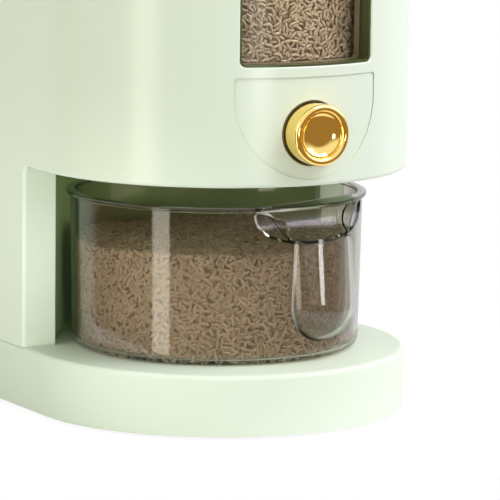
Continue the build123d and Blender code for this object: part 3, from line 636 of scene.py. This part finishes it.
def binBed():
    r = binRice
    outline = planOutline(r["inset"])
    bm = bmesh.new()
    low = [bm.verts.new((x, y, r["slotZ"])) for x, y in outline]
    high = [bm.verts.new((x, y, r["level"])) for x, y in outline]
    bm.faces.new(list(reversed(low)))
    bm.faces.new(high)
    for k in range(len(outline)):
        bm.faces.new([low[k - 1], low[k], high[k], high[k - 1]])
    # trim to the funnel's four slopes, a little above the bin's own floor
    sideTan, backTan = math.tan(math.radians(r["sideSlope"])), math.tan(math.radians(r["backSlope"]))
    cuts = [
        (Vector((0, plan["roundY"] - r["slotHalfY"], r["slotZ"])), Vector((0, -r["frontTilt"], -1))),
        (Vector((0, plan["roundY"] + r["slotHalfY"], r["slotZ"])), Vector((0, backTan, -1))),
        (Vector((r["slotHalfX"], 0, r["slotZ"])), Vector((sideTan, 0, -1))),
        (Vector((-r["slotHalfX"], 0, r["slotZ"])), Vector((-sideTan, 0, -1))),
    ]
    for point, normal in cuts:
        geometry = bm.verts[:] + bm.edges[:] + bm.faces[:]
        cut = bmesh.ops.bisect_plane(bm, geom=geometry, plane_co=point, plane_no=normal, clear_outer=True)
        rim = [g for g in cut["geom_cut"] if isinstance(g, bmesh.types.BMEdge)]
        bmesh.ops.contextual_create(bm, geom=rim)
    bmesh.ops.recalc_face_normals(bm, faces=bm.faces)
    return bm


# curved patch just behind the window
def windowPatch():
    r = binRice
    bm = bmesh.new()
    radius = plan["radius"] - r["inset"] + r["windowSkin"]
    columns, rows = r["columns"], r["rows"]
    tall = r["level"] - r["windowLow"]
    grid = []
    for i in range(columns + 1):
        a = math.radians(r["windowAngle"]) * (2 * i / columns - 1)
        x, y = radius * math.sin(a), plan["roundY"] - radius * math.cos(a)
        grid.append([bm.verts.new((x, y, r["windowLow"] + tall * k / rows)) for k in range(rows + 1)])
    for i in range(columns):
        for k in range(rows):
            bm.faces.new([grid[i][k], grid[i + 1][k], grid[i + 1][k + 1], grid[i][k + 1]])
    return bm


# top of the heap, rippled
def heapTop():
    r = binRice
    bm = bmesh.new()
    bmesh.ops.create_grid(bm, x_segments=r["heapAcross"], y_segments=r["heapAlong"], size=0.5)
    width = 2 * (plan["radius"] - r["inset"])
    length = plan["backY"] - plan["roundY"] + plan["radius"] - 2 * r["inset"]
    middle = (plan["backY"] + plan["roundY"] - plan["radius"]) / 2
    for v in bm.verts:
        v.co = Vector((v.co.x * width, v.co.y * length + middle, r["level"]))
    reach = plan["radius"] - r["inset"] - r["heapGap"]
    gone = []
    for v in bm.verts:
        ahead = v.co.y - plan["roundY"]
        if v.co.y < plan["roundY"] and math.hypot(v.co.x, ahead) > reach:
            gone.append(v)
    bmesh.ops.delete(bm, geom=gone, context="VERTS")
    for v in bm.verts:
        v.co.z += ripple(v.co.x, v.co.y, r["mound"])
    return bm


def makeBinRice():
    r = binRice
    bedPiece = newObject("binRiceBed", binBed(), "riceBedPaintedShade", smooth=False)
    windowPiece = scatterRice("binRiceWindow", windowPatch(), r["spacing"], r["window"])
    topPiece = scatterRice("binRiceTop", heapTop(), r["topSpacing"], r["top"])
    for piece in (bedPiece, windowPiece, topPiece):
        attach(piece, "housing")
        print(piece.name, len(piece.data.polygons), "faces")


makeBinRice()
bpy.data.objects.remove(grainSeed)


# return spring, grown as a wire tube on a spiral in place of the frame's spring
springSize = {
    "front": -0.1465, "back": -0.1209, "height": 0.1482, "radius": 0.009, "wire": 0.0012, "turns": 7,
    "perTurn": 28, "wireSides": 10, "keep": 0.62,
}


def makeSpringTree():
    s = springSize
    tree, give = newTree("coilSpring", {
        "Radius": "Float", "Wire": "Float", "Length": "Float", "Turns": "Float", "Material": "Material",
    })
    spiral = addNode(tree, "GeometryNodeCurveSpiral")
    spiral.inputs["Resolution"].default_value = s["perTurn"]
    join(tree, give["Turns"], spiral.inputs["Rotations"])
    join(tree, give["Radius"], spiral.inputs["Start Radius"])
    join(tree, give["Radius"], spiral.inputs["End Radius"])
    join(tree, give["Length"], spiral.inputs["Height"])
    ring = addNode(tree, "GeometryNodeCurvePrimitiveCircle")
    ring.inputs["Resolution"].default_value = s["wireSides"]
    join(tree, give["Wire"], pick(ring.inputs, "Radius"))
    tube = addNode(tree, "GeometryNodeCurveToMesh")
    tube.inputs["Fill Caps"].default_value = True
    join(tree, spiral.outputs["Curve"], tube.inputs["Curve"])
    join(tree, ring.outputs["Curve"], tube.inputs["Profile Curve"])
    endTree(tree, tube.outputs["Mesh"], give["Material"])
    return tree


def makeSpring():
    s = springSize
    values = {
        "Radius": s["radius"], "Wire": s["wire"] / 2, "Length": s["back"] - s["front"] - s["wire"],
        "Turns": float(s["turns"]), "Material": finishes["zincSteel"],
    }
    spring = growPiece("returnSpring", bmesh.new(), makeSpringTree(), values)
    start = Matrix.Translation((0, s["front"] + s["wire"] / 2, s["height"]))
    spring.data.transform(start @ Matrix.Rotation(-math.pi / 2, 4, "X"))
    smoothAll(spring.data)
    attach(spring, "housing")
    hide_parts("return_spring")
    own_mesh(spring)


makeSpring()
print("spring grown")


# cross-recess screws, grown where the frame has plain ones that are driven upwards
screwSize = {
    "near": 0.008, "around": 20, "crown": 0.84, "slotLong": 1.25, "slotWide": 0.3, "slotDeep": 0.0011,
    "shankAround": 14, "sunk": 0.0004, "crease": 35, "seed": 11, "headShare": 0.9, "tipBand": 1e-5,
}


def makeScrewTree():
    s = screwSize
    tree, give = newTree("crossScrews", {
        "Geometry": "Geometry", "Head": "Float", "Head High": "Float", "Shank": "Float", "Length": "Float",
        "Seed": "Int", "Material": "Material",
    })
    cone = addNode(tree, "GeometryNodeMeshCone")
    cone.inputs["Vertices"].default_value = s["around"]
    join(tree, maths(tree, "MULTIPLY", give["Head"], s["crown"]), cone.inputs["Radius Bottom"])
    join(tree, give["Head"], cone.inputs["Radius Top"])
    join(tree, give["Head High"], cone.inputs["Depth"])
    head = cone.outputs["Mesh"]
    # two slots, cut one after the other
    slotLong = maths(tree, "MULTIPLY", give["Head"], s["slotLong"])
    slotWide = maths(tree, "MULTIPLY", give["Head"], s["slotWide"])
    for x, y in ((slotLong, slotWide), (slotWide, slotLong)):
        slot = addNode(tree, "GeometryNodeMeshCube")
        join(tree, vector(tree, x, y, 2 * s["slotDeep"]), slot.inputs["Size"])
        cut = addNode(tree, "GeometryNodeMeshBoolean", operation="DIFFERENCE", solver="MANIFOLD")
        join(tree, head, pick(cut.inputs, "Mesh 1"))
        join(tree, slot.outputs["Mesh"], pick(cut.inputs, "Mesh 2"))
        head = cut.outputs["Mesh"]
    # the shank starts a little inside the head, so that the two join up
    shank = addNode(tree, "GeometryNodeMeshCylinder")
    shank.inputs["Vertices"].default_value = s["shankAround"]
    join(tree, give["Shank"], shank.inputs["Radius"])
    deeper = maths(tree, "ADD", give["Length"], s["sunk"])
    join(tree, deeper, shank.inputs["Depth"])
    seat = maths(tree, "SUBTRACT", give["Head High"], s["sunk"])
    half = maths(tree, "ADD", maths(tree, "MULTIPLY", deeper, 0.5), seat)
    raised = addNode(tree, "GeometryNodeTransform")
    join(tree, shank.outputs["Mesh"], raised.inputs["Geometry"])
    join(tree, vector(tree, 0, 0, half), raised.inputs["Translation"])
    whole = addNode(tree, "GeometryNodeMeshBoolean", operation="UNION", solver="MANIFOLD")
    join(tree, head, whole.inputs[1])
    join(tree, raised.outputs["Geometry"], whole.inputs[1])
    place = addNode(tree, "GeometryNodeInstanceOnPoints")
    join(tree, give["Geometry"], place.inputs["Points"])
    join(tree, whole.outputs["Mesh"], place.inputs["Instance"])
    turn = randomValue(tree, "FLOAT_VECTOR", (0, 0, 0), (0, 0, math.tau), give["Seed"])
    join(tree, turn, place.inputs["Rotation"])
    endTree(tree, place.outputs["Instances"], give["Material"])
    return tree


# read each screw's place and measures from the frame, then grow the set on those places
def makeScrews(member, body, name, tree):
    s = screwSize
    groups = []
    for vert in nodes[member].data.vertices:
        spot = vert.co.copy()
        near = [g for g in groups if (g[0].xy - spot.xy).length < s["near"]]
        if near:
            near[0].append(spot)
        else:
            groups.append([spot])
    bm = bmesh.new()
    for group in groups:
        xs, ys, zs = zip(*group)
        low, high = min(zs), max(zs)
        x, y = (min(xs) + max(xs)) / 2, (min(ys) + max(ys)) / 2
        head = (max(xs) - min(xs)) / 2
        away = [(math.hypot(p.x - x, p.y - y), p.z) for p in group]
        headHigh = max(z for r, z in away if r > s["headShare"] * head) - low
        shank = max(r for r, z in away if z > high - s["tipBand"])
        bm.verts.new((x, y, low))
    values = {
        "Head": head, "Head High": headHigh, "Shank": shank, "Length": high - low - headHigh,
        "Seed": s["seed"], "Material": finishes["zincSteel"],
    }
    screws = growPiece(name, bm, tree, values)
    smoothAll(screws.data)
    screws.data.set_sharp_from_angle(angle=math.radians(s["crease"]))
    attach(screws, body)
    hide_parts(member)
    print(name, len(groups), "screws")


screwTree = makeScrewTree()
makeScrews("base_cover_screws", "housing", "baseCoverScrews", screwTree)
makeScrews("housing_screws", "housing", "housingScrews", screwTree)
makeScrews("ceiling_screws", "housing", "ceilingScrews", screwTree)
makeScrews("lid_screws", "lid", "lidScrews", screwTree)
print("screws grown")


# floor, lamps and world
studio = {
    "floorRadius": 0.26, "floorSides": 96, "floorTone": 0.78, "floorRough": 0.9, "floorShine": 0.1,
    "floorGlow": 0.82, "floorLevel": 1.11, "worldLevel": 0.42, "frontDark": (0.34, 0.22, 0.1),
    "darkFrom": -0.6, "darkTo": -0.25, "skyFrom": -0.02, "skyTo": 0.28, "aim": (0, -0.05, 0.15),
}
lamps = {
    "key": {
        "azimuth": 38, "height": 50, "away": 1.8, "size": (0.9, 0.9), "power": 18,
        "tint": (0.95, 0.94, 1.0),
    },
    "rightFill": {
        "azimuth": 58, "height": 5, "away": 1.7, "size": (1.6, 1.5), "power": 5.2,
        "tint": (0.91, 0.82, 1.0), "hidden": True,
    },
    "rightStrip": {
        "azimuth": 70, "height": 30, "away": 1.6, "size": (1.2, 0.9), "power": 8.6,
        "tint": (0.92, 0.83, 1.0),
    },
    "leftStrip": {
        "azimuth": -72, "height": 0, "away": 1.5, "size": (0.37, 2.0), "power": 9.2,
        "tint": (1.0, 0.94, 0.82),
    },
    "gripFront": {
        "azimuth": -4, "height": -2.2, "away": 1.5, "size": (0.30, 0.19), "power": 1.7,
        "tint": (1.0, 1.0, 1.0), "shineOnly": True,
    },
    "lowFill": {
        "azimuth": -34, "height": 2, "away": 1.5, "size": (1.0, 0.5), "power": 2.3,
        "tint": (0.98, 0.98, 1.0), "hidden": True,
    },
    "topFill": {
        "azimuth": -20, "height": 70, "away": 1.8, "size": (0.8, 0.8), "power": 4,
        "tint": (1.0, 1.0, 1.0), "hidden": True,
    },
}


def pointLamp(lamp, way):
    lamp.rotation_euler = way.to_track_quat("-Z", "Y").to_euler()


def makeLamp(name, spec):
    data = bpy.data.lights.new(name, "AREA")
    data.shape = "RECTANGLE"
    data.size, data.size_y = spec["size"]
    data.energy = spec["power"]
    data.color = spec["tint"]
    lamp = bpy.data.objects.new(name, data)
    a, e = math.radians(spec["azimuth"]), math.radians(spec["height"])
    away = Vector((math.sin(a) * math.cos(e), -math.cos(a) * math.cos(e), math.sin(e)))
    lamp.location = Vector(studio["aim"]) + away * spec["away"]
    pointLamp(lamp, -away)
    lamp.visible_glossy = not spec.get("hidden", False)
    lamp.visible_diffuse = not spec.get("shineOnly", False)
    scene.collection.objects.link(lamp)


# soft spot that reaches the left post under the overhang
postSpot = {
    "at": (-0.45, -1.5, 0.02), "aim": (-0.088, -0.05, 0.075), "cone": 5.0, "blend": 0.6,
    "power": 36.0, "radius": 0.05,
}


def makePostSpot():
    s = postSpot
    data = bpy.data.lights.new("postSpot", "SPOT")
    data.energy = s["power"]
    data.spot_size = math.radians(s["cone"])
    data.spot_blend = s["blend"]
    data.shadow_soft_size = s["radius"]
    lamp = bpy.data.objects.new("postSpot", data)
    lamp.location = s["at"]
    pointLamp(lamp, Vector(s["aim"]) - Vector(s["at"]))
    lamp.visible_glossy = False
    scene.collection.objects.link(lamp)


def makeFloor():
    s = studio
    bm = bmesh.new()
    bmesh.ops.create_circle(bm, cap_ends=True, segments=s["floorSides"], radius=s["floorRadius"])
    floor = newObject("paleFloor", bm, smooth=False)
    material, tree, shader, out = newMaterial("paleFloor")
    shader.inputs["Base Color"].default_value = (s["floorTone"], s["floorTone"], s["floorTone"], 1)
    shader.inputs["Roughness"].default_value = s["floorRough"]
    shader.inputs["Specular IOR Level"].default_value = s["floorShine"]
    glow = addNode(tree, "ShaderNodeEmission")
    glow.inputs["Strength"].default_value = s["floorLevel"]
    path = addNode(tree, "ShaderNodeLightPath")
    share = maths(tree, "MULTIPLY", seenMask(tree, path), s["floorGlow"])
    join(tree, mixShaders(tree, share, shader, glow), out.inputs["Surface"])
    floor.data.materials.append(material)


def makeWorld():
    s = studio
    world = bpy.data.worlds.new("studioWorld")
    scene.world = world
    world.use_nodes = True
    tree = world.node_tree
    tree.nodes.clear()
    out = addNode(tree, "ShaderNodeOutputWorld")
    back = addNode(tree, "ShaderNodeBackground")
    join(tree, back.outputs[0], out.inputs["Surface"])
    path = addNode(tree, "ShaderNodeLightPath")
    where = addNode(tree, "ShaderNodeTexCoord").outputs["Generated"]
    # in reflections, the room in front of the object is darker than the white sweep round and over it
    facing = addNode(tree, "ShaderNodeVectorMath", operation="DOT_PRODUCT")
    facing.inputs[1].default_value = Vector((shot["spot"][0], shot["spot"][1], 0)).normalized()
    join(tree, where, facing.inputs[0])
    split = addNode(tree, "ShaderNodeSeparateXYZ")
    join(tree, where, split.inputs[0])
    front = smoothStep(tree, facing.outputs["Value"], s["darkFrom"], s["darkTo"])
    low = smoothStep(tree, split.outputs["Z"], s["skyTo"], s["skyFrom"])
    dark = maths(tree, "MULTIPLY", maths(tree, "MULTIPLY", front, low), path.outputs["Is Glossy Ray"])
    join(tree, mixColours(tree, dark, (1, 1, 1, 1), opaque(s["frontDark"])), back.inputs["Color"])
    join(tree, spanned(tree, seenMask(tree, path), s["worldLevel"], 1), back.inputs["Strength"])


for lampName, spec in lamps.items():
    makeLamp(lampName, spec)
makePostSpot()
makeFloor()
makeWorld()
print("studio lit")
